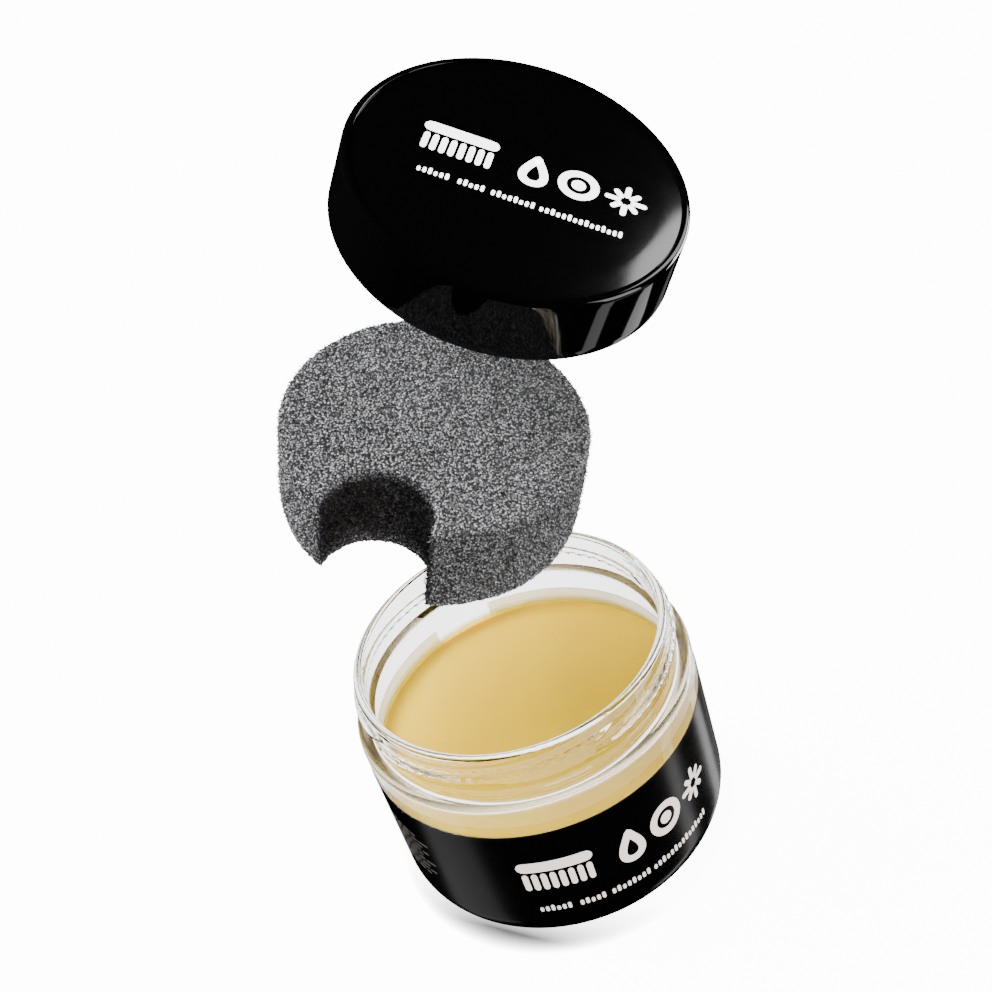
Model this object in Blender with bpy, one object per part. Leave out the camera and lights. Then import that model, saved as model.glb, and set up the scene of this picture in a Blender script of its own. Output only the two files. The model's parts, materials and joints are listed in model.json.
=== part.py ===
"""Wax jar with a screw lid and an applicator sponge, laid out as an exploded stack.

The jar stands upright with the centre of its base at the origin. The sponge and the
lid hang above its open mouth, each tipped on its own axis. Every closed position is
worked out from the jar, and each loose piece is then swung out of it about one hinge.
"""
from math import atan2, cos, pi, radians, sin, tan

import bmesh
import bpy
from mathutils import Matrix, Vector

MM = 0.001

# Round faces of a turned piece, and the points of a rounded corner.
TURNED_SIDES = 64
CORNER_POINTS = 5
SMOOTH_ANGLE = radians(35)

# Clearance that touching pieces keep from each other.
GAP = 0.3 * MM

# Jar: a thick clear pot with a rounded base corner, a shoulder and a threaded neck.
BARREL_R = 34.8 * MM
JAR_HEIGHT = 52.1 * MM
BASE_CORNER_R = 7.3 * MM
BARREL_WALL = 2.6 * MM
FLOOR = 3.5 * MM
INNER_CORNER_R = 5.0 * MM
SHOULDER_START = 39.6 * MM
SHOULDER_R = 1.4 * MM
NECK_R = 31.9 * MM
MOUTH_R = 30.2 * MM
RIM_ROUND = 0.7 * MM
SHOULDER_WALL_START = 38.6 * MM
SHOULDER_WALL_RISE = 4.0 * MM

# Quick-turn thread: four ribs, each a little over a quarter of the way round.
THREAD_STARTS = 4
THREAD_LEAD = 13.0 * MM
RIB_FIRST_ANGLE = radians(-164)
RIB_SWEEP = radians(102)
RIB_START_HEIGHT = 45.2 * MM
RIB_HEIGHT = 1.0 * MM
RIB_ROOT_HALF = 0.9 * MM
RIB_CREST_HALF = 0.35 * MM
RIB_TAPER = radians(12)
RIB_STEPS = 24
RIB_ROOT_DEPTH = 0.6 * MM

# Wax fill.
WAX_LEVEL = 29.5 * MM

# Printed label: wrapped round the barrel, its lower edge drawn in under the base
# corner, its two ends left apart at the back.
LABEL_TOP = 33.3 * MM
LABEL_THICKNESS = 0.2 * MM
LABEL_UNDERWRAP = radians(66)
LABEL_GAP_ANGLE = radians(105.75)
LABEL_GAP_WIDTH = 13.6 * MM

# Lid, measured down from the centre of its top face.
LID_HEIGHT = 14.55 * MM
LID_TOP_R = 34.5 * MM
LID_BOTTOM_R = 35.0 * MM
LID_EDGE_ROUND = 1.0 * MM
LID_RECESS_R = 32.8 * MM
LID_RECESS_DEPTH = 0.6 * MM
LID_TOP_WALL = 1.5 * MM
LID_BORE_R = 33.3 * MM
LID_LABEL_R = 32.5 * MM
LID_LABEL_THICKNESS = 0.25 * MM
LID_RIB_TIP_R = 32.35 * MM
LID_RIB_FROM = radians(22)
LID_RIB_SWEEP = radians(60)
LID_RIB_ROOT_HALF = 0.8 * MM
LID_RIB_CREST_HALF = 0.3 * MM
LID_RIB_STEPS = 14

# Foam liner in the lid, and the loose sealing disc that lies on the jar's rim.
LINER_R = 31.9 * MM
LINER_THICKNESS = 1.2 * MM
SEAL_R = 31.6 * MM
SEAL_THICKNESS = 0.6 * MM

# Sponge: a round puck with a round finger notch cut right through it.
SPONGE_R = 29.4 * MM
SPONGE_THICKNESS = 19.85 * MM
SPONGE_EDGE_ROUND = 1.6 * MM
NOTCH_R = 10.4 * MM
NOTCH_DISTANCE = 26.5 * MM
NOTCH_SIDES = 48

# Where the loose pieces hang: centre of the top face, and the axis out of it.
LID_HANGS_AT = Vector((30.95, 42.45, 125.2)) * MM
LID_AXIS = Vector((0.3933, -0.3389, 0.8547)).normalized()
SPONGE_HANGS_AT = Vector((0.8, 14.3, 96.2)) * MM
SPONGE_AXIS = Vector((0.2991, -0.2208, 0.9283)).normalized()
NOTCH_TOWARDS = Vector((-14.6, -21.8, -0.5))

# How far the hanging lid is unscrewed, and the lift that its thread gives.
UNSCREWED = radians(250)
LIFT = THREAD_LEAD * UNSCREWED / (2 * pi)

# Worked-out places.
UP = Vector((0, 0, 1))
SEAL_BOTTOM = JAR_HEIGHT + GAP
LINER_BOTTOM = SEAL_BOTTOM + SEAL_THICKNESS + GAP
LID_CEILING = LINER_BOTTOM + LINER_THICKNESS + GAP
LID_CLOSED_TOP = LID_CEILING + LID_TOP_WALL + LID_RECESS_DEPTH
SPONGE_STOWED_TOP = WAX_LEVEL + GAP + SPONGE_THICKNESS


def clear_scene():
    for item in list(bpy.data.objects):
        bpy.data.objects.remove(item, do_unlink=True)


def material(name, colour, roughness, metallic=0.0, alpha=1.0):
    made = bpy.data.materials.new(name)
    made.use_nodes = True
    shader = made.node_tree.nodes["Principled BSDF"]
    shader.inputs["Base Color"].default_value = (*colour, 1.0)
    shader.inputs["Roughness"].default_value = roughness
    shader.inputs["Metallic"].default_value = metallic
    shader.inputs["Alpha"].default_value = alpha
    return made


def add_object(name, mesh, made=None):
    item = bpy.data.objects.new(name, mesh)
    bpy.context.scene.collection.objects.link(item)
    if made is not None:
        mesh.materials.append(made)
    return item


def corner(centre_r, centre_z, radius, start, end, points=CORNER_POINTS):
    """Points (r, z) along an arc, from one angle to the other, both ends included."""
    steps = [start + (end - start) * i / (points - 1) for i in range(points)]
    return [(centre_r + radius * cos(a), centre_z + radius * sin(a)) for a in steps]


def turned(name, profile, made, sides=TURNED_SIDES):
    """A solid turned from a profile of (r, z) points that starts and ends on the axis."""
    bm = bmesh.new()
    verts = [bm.verts.new((r, 0, z)) for r, z in profile]
    edges = [bm.edges.new(pair) for pair in zip(verts, verts[1:])]
    if profile[0][0] > 0:
        edges.append(bm.edges.new((verts[-1], verts[0])))
    bmesh.ops.spin(bm, geom=verts + edges, cent=(0, 0, 0), axis=UP,
                   angle=2 * pi, steps=sides, use_merge=True)
    bmesh.ops.remove_doubles(bm, verts=bm.verts, dist=0.001 * MM)
    bmesh.ops.recalc_face_normals(bm, faces=bm.faces)
    mesh = bpy.data.meshes.new(name)
    bm.to_mesh(mesh)
    bm.free()
    mesh.shade_smooth()
    mesh.set_sharp_from_angle(angle=SMOOTH_ANGLE)
    return add_object(name, mesh, made)


def thread_rib(name, first, sweep, height, root_r, crest_r, root_half, crest_half, steps):
    """One rib of a helical thread: a four-sided bar whose crest tapers at both ends."""
    bm = bmesh.new()
    rings = []
    for i in range(steps + 1):
        along = sweep * i / steps
        end_distance = min(along, sweep - along)
        fade = min(1.0, 0.08 + end_distance / RIB_TAPER)
        tip = root_r + (crest_r - root_r) * fade
        angle = first + along
        z = height + THREAD_LEAD * along / (2 * pi)
        section = [(root_r, -root_half), (tip, -crest_half), (tip, crest_half), (root_r, root_half)]
        rings.append([bm.verts.new((r * cos(angle), r * sin(angle), z + dz)) for r, dz in section])
    for low, high in zip(rings, rings[1:]):
        for k in range(4):
            bm.faces.new((low[k], low[(k + 1) % 4], high[(k + 1) % 4], high[k]))
    bm.faces.new(rings[0])
    bm.faces.new(reversed(rings[-1]))
    bmesh.ops.recalc_face_normals(bm, faces=bm.faces)
    mesh = bpy.data.meshes.new(name)
    bm.to_mesh(mesh)
    bm.free()
    return add_object(name, mesh)


def combine(target, tool, operation):
    """Boolean the tool into the target, and leave the tool as a hidden guide."""
    tool.hide_render = True
    tool.display_type = "WIRE"
    cut = target.modifiers.new(f"{operation.lower()}_{tool.name}", "BOOLEAN")
    cut.operation = operation
    cut.solver = "EXACT"
    cut.object = tool


def jar_outline():
    """Outer wall up, over the rim, down the inner wall and in across the floor."""
    base_r = BARREL_R - BASE_CORNER_R
    shoulder_r = BARREL_R - SHOULDER_R
    inner_r = BARREL_R - BARREL_WALL
    rim_mid_r = JAR_HEIGHT - RIM_ROUND
    points = [(0, 0)]
    points += corner(base_r, BASE_CORNER_R, BASE_CORNER_R, -pi / 2, 0, 7)
    points += corner(shoulder_r, SHOULDER_START, SHOULDER_R, 0, pi / 2)
    points += [(NECK_R, SHOULDER_START + SHOULDER_R + GAP)]
    points += corner(NECK_R - RIM_ROUND, rim_mid_r, RIM_ROUND, 0, pi / 2)
    points += corner(MOUTH_R + RIM_ROUND, rim_mid_r, RIM_ROUND, pi / 2, pi)
    points += [(MOUTH_R, SHOULDER_WALL_START + SHOULDER_WALL_RISE)]
    points += [(inner_r, SHOULDER_WALL_START)]
    points += corner(inner_r - INNER_CORNER_R, FLOOR + INNER_CORNER_R, INNER_CORNER_R, 0, -pi / 2)
    points += [(0, FLOOR)]
    return points


def make_jar_body(made):
    body = turned("jar_body", jar_outline(), made)
    for i in range(THREAD_STARTS):
        first = RIB_FIRST_ANGLE + 2 * pi * i / THREAD_STARTS
        rib = thread_rib(f"jar_rib_tool_{i}", first, RIB_SWEEP, RIB_START_HEIGHT,
                         NECK_R - RIB_ROOT_DEPTH, NECK_R + RIB_HEIGHT,
                         RIB_ROOT_HALF, RIB_CREST_HALF, RIB_STEPS)
        combine(body, rib, "UNION")
    return body


def make_wax(made):
    wall_r = BARREL_R - BARREL_WALL - GAP
    floor = FLOOR + GAP
    round_r = INNER_CORNER_R - GAP
    points = [(0, floor)]
    points += corner(wall_r - round_r, floor + round_r, round_r, -pi / 2, 0)
    points += [(wall_r, WAX_LEVEL), (0, WAX_LEVEL)]
    return turned("wax", points, made)


def make_jar_label(made):
    """The wrapped label: a turned band with the gap between its ends cut out."""
    centre_r = BARREL_R - BASE_CORNER_R
    inner_r = BASE_CORNER_R + GAP
    outer_r = inner_r + LABEL_THICKNESS
    points = corner(centre_r, BASE_CORNER_R, outer_r, -LABEL_UNDERWRAP, 0, 6)
    points += [(centre_r + outer_r, LABEL_TOP), (centre_r + inner_r, LABEL_TOP)]
    points += corner(centre_r, BASE_CORNER_R, inner_r, 0, -LABEL_UNDERWRAP, 6)
    label = turned("jar_label", points, made)
    size = Matrix.Diagonal((BASE_CORNER_R * 3, LABEL_GAP_WIDTH, LABEL_TOP * 3, 1))
    where = Matrix.Rotation(LABEL_GAP_ANGLE, 4, "Z") @ Matrix.Translation((BARREL_R, 0, 0))
    bm = bmesh.new()
    bmesh.ops.create_cube(bm, size=1, matrix=where @ size)
    mesh = bpy.data.meshes.new("label_gap_tool")
    bm.to_mesh(mesh)
    bm.free()
    combine(label, add_object("label_gap_tool", mesh), "DIFFERENCE")
    return label


def make_lid_shell(made):
    """Lid in its own frame, with z = 0 at its top face, screwed home on the jar."""
    ceiling = -(LID_RECESS_DEPTH + LID_TOP_WALL)
    points = [(0, ceiling), (LID_BORE_R, ceiling), (LID_BORE_R, -LID_HEIGHT)]
    points += [(LID_BOTTOM_R, -LID_HEIGHT)]
    points += corner(LID_TOP_R - LID_EDGE_ROUND, -LID_EDGE_ROUND, LID_EDGE_ROUND, 0, pi / 2)
    points += [(LID_RECESS_R, 0), (LID_RECESS_R, -LID_RECESS_DEPTH), (0, -LID_RECESS_DEPTH)]
    shell = turned("lid_shell", points, made)
    half_pitch = THREAD_LEAD / THREAD_STARTS / 2
    start_height = RIB_START_HEIGHT - half_pitch + THREAD_LEAD * LID_RIB_FROM / (2 * pi)
    for i in range(THREAD_STARTS):
        first = RIB_FIRST_ANGLE + LID_RIB_FROM + 2 * pi * i / THREAD_STARTS
        rib = thread_rib(f"lid_rib_tool_{i}", first, LID_RIB_SWEEP,
                         start_height - LID_CLOSED_TOP,
                         LID_BORE_R + RIB_ROOT_DEPTH, LID_RIB_TIP_R,
                         LID_RIB_ROOT_HALF, LID_RIB_CREST_HALF, LID_RIB_STEPS)
        combine(shell, rib, "UNION")
    return shell


def make_disc(name, radius, bottom, thickness, made):
    """A plain round disc in the lid's frame."""
    top = bottom + thickness
    return turned(name, [(0, bottom), (radius, bottom), (radius, top), (0, top)], made)


def make_sponge(made):
    """Puck in its own frame: z = 0 at its top face, and the notch along +X."""
    low = -SPONGE_THICKNESS
    round_r = SPONGE_EDGE_ROUND
    points = [(0, low)]
    points += corner(SPONGE_R - round_r, low + round_r, round_r, -pi / 2, 0)
    points += corner(SPONGE_R - round_r, -round_r, round_r, 0, pi / 2)
    points += [(0, 0)]
    sponge = turned("sponge", points, made)
    bm = bmesh.new()
    place = Matrix.Translation((NOTCH_DISTANCE, 0, low / 2))
    bmesh.ops.create_cone(bm, cap_ends=True, segments=NOTCH_SIDES, radius1=NOTCH_R,
                          radius2=NOTCH_R, depth=2 * SPONGE_THICKNESS, matrix=place)
    mesh = bpy.data.meshes.new("notch_tool")
    bm.to_mesh(mesh)
    bm.free()
    notch = add_object("notch_tool", mesh)
    combine(sponge, notch, "DIFFERENCE")
    return sponge, notch


def swing(start_point, start_axis, end_point, end_axis):
    """The hinge that carries one place and axis to another: (axis, angle, pivot)."""
    axis = (end_axis - start_axis).cross(end_point - start_point).normalized()
    start_flat = start_axis - axis * start_axis.dot(axis)
    end_flat = end_axis - axis * end_axis.dot(axis)
    angle = atan2(axis.dot(start_flat.cross(end_flat)), start_flat.dot(end_flat))
    if angle < 0:
        axis, angle = -axis, -angle
    middle = (start_point + end_point) / 2
    pivot = middle + axis.cross(end_point - start_point) / (2 * tan(angle / 2))
    return axis, angle, pivot


def swung_back(axis, angle, pivot):
    """The move from the far end of a hinge's travel back to its start."""
    there = Matrix.Translation(pivot)
    return there @ Matrix.Rotation(-angle, 4, axis) @ there.inverted()


def hinge_empty(name, axis, pivot):
    """An empty on a hinge's axis, its own Z along that axis."""
    empty = bpy.data.objects.new(name, None)
    bpy.context.scene.collection.objects.link(empty)
    turn = UP.rotation_difference(axis).to_matrix().to_4x4()
    empty.matrix_world = Matrix.Translation(pivot) @ turn
    return empty


def place(item, where, parent):
    item.parent = parent
    item.matrix_parent_inverse = parent.matrix_world.inverted()
    item.matrix_world = where


def sponge_place():
    """The hanging sponge's frame: Z out of its top face, X towards the notch."""
    towards = (NOTCH_TOWARDS - SPONGE_AXIS * NOTCH_TOWARDS.dot(SPONGE_AXIS)).normalized()
    across = SPONGE_AXIS.cross(towards)
    turn = Matrix((towards, across, SPONGE_AXIS)).transposed().to_4x4()
    return Matrix.Translation(SPONGE_HANGS_AT) @ turn


def main():
    clear_scene()
    clear_plastic = material("clear_pet", (0.93, 0.95, 0.95), 0.06, alpha=0.3)
    honey_wax = material("honey_wax", (0.86, 0.62, 0.2), 0.4)
    black_film = material("black_print_film", (0.012, 0.012, 0.013), 0.35)
    black_gloss = material("black_gloss_plastic", (0.008, 0.008, 0.009), 0.08)
    white_foam = material("liner_foam", (0.85, 0.85, 0.83), 0.8)
    milky_film = material("milky_film", (0.88, 0.89, 0.88), 0.3)
    grey_foam = material("grey_foam", (0.09, 0.09, 0.095), 0.95)

    make_jar_body(clear_plastic)
    make_wax(honey_wax)
    make_jar_label(black_film)

    shell = make_lid_shell(black_gloss)
    label_bottom = GAP - LID_RECESS_DEPTH
    label = make_disc("lid_label", LID_LABEL_R, label_bottom, LID_LABEL_THICKNESS, black_film)
    liner = make_disc("lid_liner", LINER_R, LINER_BOTTOM - LID_CLOSED_TOP,
                      LINER_THICKNESS, white_foam)
    seal = make_disc("seal_disc", SEAL_R, SEAL_BOTTOM - LID_CLOSED_TOP,
                     SEAL_THICKNESS, milky_film)

    closed = Matrix.Translation((0, 0, LID_CLOSED_TOP))
    lifted = Matrix.Translation((0, 0, LIFT))
    unscrewed = Matrix.Rotation(UNSCREWED, 4, "Z")
    lid_swing = swing(LID_HANGS_AT, LID_AXIS, UP * (LID_CLOSED_TOP + LIFT), UP)
    lid_hinge = hinge_empty("lid_carry_axis", lid_swing[0], lid_swing[2])
    hang_lid = swung_back(*lid_swing)
    place(seal, hang_lid @ closed, lid_hinge)
    place(liner, hang_lid @ lifted @ closed, lid_hinge)
    for item in (shell, label):
        place(item, hang_lid @ lifted @ closed @ unscrewed, lid_hinge)
    for i in range(THREAD_STARTS):
        tool = bpy.data.objects[f"lid_rib_tool_{i}"]
        place(tool, hang_lid @ lifted @ closed @ unscrewed, lid_hinge)

    sponge, notch = make_sponge(grey_foam)
    sponge_swing = swing(SPONGE_HANGS_AT, SPONGE_AXIS, UP * SPONGE_STOWED_TOP, UP)
    sponge_hinge = hinge_empty("sponge_carry_axis", sponge_swing[0], sponge_swing[2])
    for item in (sponge, notch):
        place(item, sponge_place(), sponge_hinge)


main()
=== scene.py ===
import json
from math import cos, pi, radians, sin, tau

import bmesh
import bpy
from bpy.props import FloatProperty, FloatVectorProperty, IntProperty, PointerProperty
from mathutils import Matrix, Vector, noise


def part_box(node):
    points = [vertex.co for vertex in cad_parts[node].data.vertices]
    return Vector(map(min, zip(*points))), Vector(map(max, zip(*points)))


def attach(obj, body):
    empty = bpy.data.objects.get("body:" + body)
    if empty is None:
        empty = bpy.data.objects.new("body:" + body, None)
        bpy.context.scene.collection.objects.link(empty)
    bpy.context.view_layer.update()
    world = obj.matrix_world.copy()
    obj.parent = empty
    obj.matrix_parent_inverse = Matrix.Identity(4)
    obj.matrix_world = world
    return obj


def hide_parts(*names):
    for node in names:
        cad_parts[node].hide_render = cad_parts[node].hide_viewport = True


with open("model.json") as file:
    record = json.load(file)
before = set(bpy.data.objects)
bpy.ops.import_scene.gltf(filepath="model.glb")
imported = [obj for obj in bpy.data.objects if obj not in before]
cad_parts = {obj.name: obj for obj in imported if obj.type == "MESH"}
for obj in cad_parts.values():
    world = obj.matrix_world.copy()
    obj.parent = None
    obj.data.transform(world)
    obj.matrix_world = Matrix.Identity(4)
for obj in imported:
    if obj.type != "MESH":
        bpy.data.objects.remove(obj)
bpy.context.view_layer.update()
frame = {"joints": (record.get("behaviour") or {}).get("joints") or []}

bl_info = {
    "name": "Wax jar looks",
    "version": (1, 0, 0),
    "blender": (4, 5, 0),
    "location": "View3D > Sidebar > Wax jar",
    "description": "Builds the finished surfaces of a screw-top wax jar, its lid and its sponge",
    "category": "Object",
}

MM = 0.001
UP = Vector((0, 0, 1))

# Places read from the frame.
JAR_HIGH = Vector(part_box("jar_body")[1])
WAX_HIGH = Vector(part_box("wax")[1])
LABEL_HIGH = Vector(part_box("jar_label")[1])
JOINTS = {joint["name"]: joint for joint in frame["joints"]}
LID_CENTRE = Vector(JOINTS["lid_turn"]["pos_m"])
LID_AXIS = Vector(JOINTS["lid_turn"]["axis"]).normalized()
LID_LIFT = -JOINTS["lid_rise"]["range_m"][0]

# Jar, as the CAD model has it.
BARREL_R = JAR_HIGH.x
JAR_HEIGHT = JAR_HIGH.z
BASE_CORNER_R = 7.3 * MM
BARREL_WALL = 2.6 * MM
FLOOR = 3.5 * MM
INNER_CORNER_R = 5.0 * MM
SHOULDER_START = 39.6 * MM
SHOULDER_R = 1.4 * MM
SHOULDER_WALL_START = 38.6 * MM
SHOULDER_WALL_RISE = 4.0 * MM
NECK_R = 31.9 * MM
MOUTH_R = 30.2 * MM
RIM_ROUND = 0.8 * MM
THREAD_STARTS = 4
THREAD_LEAD = 13.0 * MM
RIB_FIRST_ANGLE = radians(-164)
RIB_SWEEP = radians(102)
RIB_START_HEIGHT = 45.2 * MM
RIB_HEIGHT = 1.0 * MM
RIB_ROOT_HALF = 0.85 * MM
RIB_CREST_HALF = 0.4 * MM
RIB_TAPER = radians(10)
FOOT_RISE = 0.5 * MM
NECK_FILLET = 0.4 * MM

# Wax: its hollow middle, the meniscus at the wall and the smear above it.
WAX_SMEAR = 3.4 * MM
WAX_SMEAR_START = 0.3 * MM
WAX_CLIMB = 0.8 * MM
WAX_HOLLOW = 0.25 * MM
WAX_RIPPLE = 0.12 * MM
WAX_IN_WALL = 0.05 * MM

# Label: its ends, its gap and how far it turns in under the base's corner.
LABEL_THICKNESS = 0.14 * MM
LABEL_UNDERWRAP = radians(66)
LABEL_GAP_ANGLE = radians(105.75)
LABEL_GAP_SWEEP = radians(22.4)

# Lid, measured down from the centre of its top face.
LID_HEIGHT = 14.55 * MM
LID_TOP_R = 34.5 * MM
LID_BOTTOM_R = 35.0 * MM
LID_EDGE_ROUND = 1.0 * MM
LID_RECESS_R = 32.8 * MM
LID_RECESS_DEPTH = 0.6 * MM
LID_TOP_WALL = 1.5 * MM
LID_BORE_R = 33.3 * MM
LID_RIB_TIP_R = 32.35 * MM
LID_BORE_ROUND = 0.6 * MM
LID_FOOT_ROUND = 0.35 * MM
LID_LIP = 0.15 * MM
LID_RIB_FIRST_ANGLE = radians(22)
LID_RIB_SWEEP = radians(60)
LID_RIB_START_HEIGHT = -10.6 * MM
LID_RIB_ROOT_HALF = 0.85 * MM
LID_RIB_CREST_HALF = 0.25 * MM
LID_LABEL_R = 32.55 * MM
LID_LABEL_TOP = -0.1 * MM
LID_LABEL_BEND = 4.5 * MM
LID_LABEL_FALL = 0.2 * MM

# Liner and sealing disc, below the lid's ceiling.
LINER_R = 31.9 * MM
LINER_TOP_GAP = 0.05 * MM
LINER_LOW = 1.5 * MM
LINER_ROUND = 0.3 * MM
SEAL_R = 31.6 * MM
SEAL_GAP = 0.3 * MM
SEAL_THICKNESS = 0.6 * MM
SEAL_ROUND = 0.18 * MM
SEAL_GROOVES = (12 * MM, 22 * MM, 29 * MM)
SEAL_GROOVE_HALF = 0.8 * MM
SEAL_GROOVE_DEPTH = 0.14 * MM

# Sponge: centre of its top face, the axis out of it, and its finger notch.
SPONGE_CENTRE = Vector((0.8, 14.3, 96.2)) * MM
SPONGE_AXIS = Vector((0.2991, -0.2208, 0.9283)).normalized()
NOTCH_TOWARDS = Vector((-14.6, -21.8, -0.5))
SPONGE_R = 29.4 * MM
SPONGE_THICKNESS = 19.85 * MM
NOTCH_R = 10.4 * MM
NOTCH_DISTANCE = 26.5 * MM
SPONGE_RIM = 1.3 * MM
PORE_DEPTH = 0.42 * MM
FOAM_JITTER = 0.2 * MM
FOAM_JITTER_WIDTH = 0.45 * MM
FOAM_UNEVENNESS = 0.22 * MM
FOAM_UNEVEN_WIDTH = 9 * MM
CELL_WALL_SHARE = 0.35
STRUT_THICKNESS = 0.14 * MM
STRUT_FREE_FOOT = 1.2 * MM

# Artwork: where its middle line lies on the label and on the lid.
LABEL_ART_ANGLE = radians(-60)
LABEL_ART_HEIGHT = 19.0 * MM
SMALL_PRINT_ANGLE = radians(-158)
LID_ART_SHIFT = 10.7 * MM
LID_ART_X = Vector((0.7991, -0.3338, -0.5001)).normalized()


class WaxJarLooks(bpy.types.PropertyGroup):
    wax_colour: FloatVectorProperty(
        name="Wax", description="Main colour of the wax", subtype="COLOR",
        size=3, min=0, max=1, default=(0.34, 0.222, 0.0))
    wax_deep_colour: FloatVectorProperty(
        name="Deep wax", description="Colour where the wax lies thick", subtype="COLOR",
        size=3, min=0, max=1, default=(0.28, 0.15, 0.0))
    film_colour: FloatVectorProperty(
        name="Film", description="Black printed film of both labels", subtype="COLOR",
        size=3, min=0, max=1, default=(0.0014, 0.0014, 0.0015))
    label_ink: FloatVectorProperty(
        name="Label ink", description="Warm print on the jar's label", subtype="COLOR",
        size=3, min=0, max=1, default=(0.8, 0.72, 0.66))
    lid_ink: FloatVectorProperty(
        name="Lid ink", description="White print on the lid", subtype="COLOR",
        size=3, min=0, max=1, default=(0.95, 0.95, 0.95))
    # The foam's colour at the peak of its painted glints. The pores get a painted shade of it.
    foam_glint_colour: FloatVectorProperty(
        name="Foam", description="Main grey of the sponge", subtype="COLOR",
        size=3, min=0, max=1, default=(0.9, 0.9, 0.93))
    foam_cell: FloatProperty(
        name="Foam cell", description="Width of one cell of the foam", unit="LENGTH",
        default=0.48 * MM, min=0.4 * MM, max=2 * MM)
    foam_voxel: FloatProperty(
        name="Foam mesh", description="Edge length of the foam's mesh", unit="LENGTH",
        default=0.36 * MM, min=0.25 * MM, max=1 * MM)
    strut_density: FloatProperty(
        name="Struts", description="Loose foam struts on each square metre",
        default=3.6e6, min=0, max=6e6)
    strut_length: FloatProperty(
        name="Strut length", description="Length of a loose foam strut", unit="LENGTH",
        default=0.85 * MM, min=0.1 * MM, max=3 * MM)
    strut_seed: IntProperty(
        name="Strut seed", description="Seed of the struts' places", default=7, min=0)
    print_thickness: FloatProperty(
        name="Print", description="Thickness of the printed ink", unit="LENGTH",
        default=0.04 * MM, min=0.01 * MM, max=0.2 * MM)


# ---------------------------------------------------------------- mesh tools

def linked(name, data):
    """A new object in the scene."""
    item = bpy.data.objects.new(name, data)
    bpy.context.scene.collection.objects.link(item)
    return item


def mesh_from(bm, name):
    """The bmesh as a mesh; the bmesh is freed."""
    mesh = bpy.data.meshes.new(name)
    bm.to_mesh(mesh)
    bm.free()
    return mesh


def mesh_object(name, verts, faces, sharp=radians(35)):
    """A smooth-shaded mesh object whose place is in its mesh."""
    mesh = bpy.data.meshes.new(name)
    mesh.from_pydata(verts, [], faces)
    mesh.validate()
    mesh.shade_smooth()
    mesh.set_sharp_from_angle(angle=sharp)
    return linked(name, mesh)


def arc(centre_r, centre_z, radius, start, end, points=10):
    """Points (r, z) along an arc, both ends included."""
    steps = [start + (end - start) * i / (points - 1) for i in range(points)]
    return [(centre_r + radius * cos(a), centre_z + radius * sin(a)) for a in steps]


def straight(start, end, points):
    """Points (r, z) between two places, both ends left out."""
    shares = [i / (points + 1) for i in range(1, points + 1)]
    return [tuple(a + (b - a) * s for a, b in zip(start, end)) for s in shares]


def eased(share):
    """A smooth step from 0 to 1."""
    share = min(max(share, 0.0), 1.0)
    return share * share * (3 - 2 * share)


def lathe(name, outline, sides, shape=None, start=0.0, sweep=tau, sharp=radians(35)):
    """Turn an outline of (r, z) points about Z, up its outer side and down its inner.

    shape(r, z, angle) gives the point's radius where the surface isn't quite round.
    A sweep short of a full turn needs an outline that stays off the axis, and is capped.
    """
    whole = sweep >= tau
    columns = sides if whole else sides + 1
    angles = [start + sweep * k / sides for k in range(columns)]
    verts, rows = [], []
    for r, z in outline:
        count = 1 if r == 0 else columns
        rows.append(list(range(len(verts), len(verts) + count)))
        for angle in angles[:count]:
            wide = shape(r, z, angle) if shape else r
            verts.append((wide * cos(angle), wide * sin(angle), z))
    closed = outline[0][0] > 0
    pairs = list(zip(rows, rows[1:])) + ([(rows[-1], rows[0])] if closed else [])
    faces = []
    for low, high in pairs:
        for k in range(sides):
            n = (k + 1) % columns
            if len(low) == 1:
                faces.append((low[0], high[n], high[k]))
            elif len(high) == 1:
                faces.append((low[k], low[n], high[0]))
            else:
                faces.append((low[k], low[n], high[n], high[k]))
    if not whole:
        faces.append([row[0] for row in rows])
        faces.append([row[-1] for row in reversed(rows)])
    return mesh_object(name, verts, faces, sharp)


def rib_height(z, angle, first, sweep, start_height, full, root_half, crest_half):
    """Height of a helical rib's surface over its wall at one place."""
    highest = 0.0
    for i in range(THREAD_STARTS):
        along = (angle - first - tau * i / THREAD_STARTS) % tau
        if along > sweep:
            continue
        centre = start_height + THREAD_LEAD * along / tau
        off = abs(z - centre)
        if off > root_half:
            continue
        fade = eased(min(along, sweep - along) / RIB_TAPER)
        side = eased((root_half - off) / (root_half - crest_half))
        highest = max(highest, full * fade * side)
    return highest


def set_in_place(item, place):
    """Put a piece's place into its mesh; its object stays at the origin."""
    item.data.transform(place)
    item.data.update()


def lid_place(dropped=0.0):
    """The lid's frame: Z out of its top face, X along its artwork, dropped along its axis."""
    across = LID_AXIS.cross(LID_ART_X).normalized()
    along = across.cross(LID_AXIS)
    turn = Matrix((along, across, LID_AXIS)).transposed().to_4x4()
    drop = Matrix.Translation(-LID_AXIS * dropped)
    return drop @ Matrix.Translation(LID_CENTRE) @ turn


def sponge_place():
    """The sponge's frame: Z out of its top face, X towards the notch."""
    towards = (NOTCH_TOWARDS - SPONGE_AXIS * NOTCH_TOWARDS.dot(SPONGE_AXIS)).normalized()
    across = SPONGE_AXIS.cross(towards)
    turn = Matrix((towards, across, SPONGE_AXIS)).transposed().to_4x4()
    return Matrix.Translation(SPONGE_CENTRE) @ turn


def evaluated_copy(item, name):
    """The object with its modifiers applied, as a new plain mesh object."""
    graph = bpy.context.evaluated_depsgraph_get()
    mesh = bpy.data.meshes.new_from_object(item.evaluated_get(graph), depsgraph=graph)
    mesh.name = name
    return linked(name, mesh)


# ---------------------------------------------------------------- node tools

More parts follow.
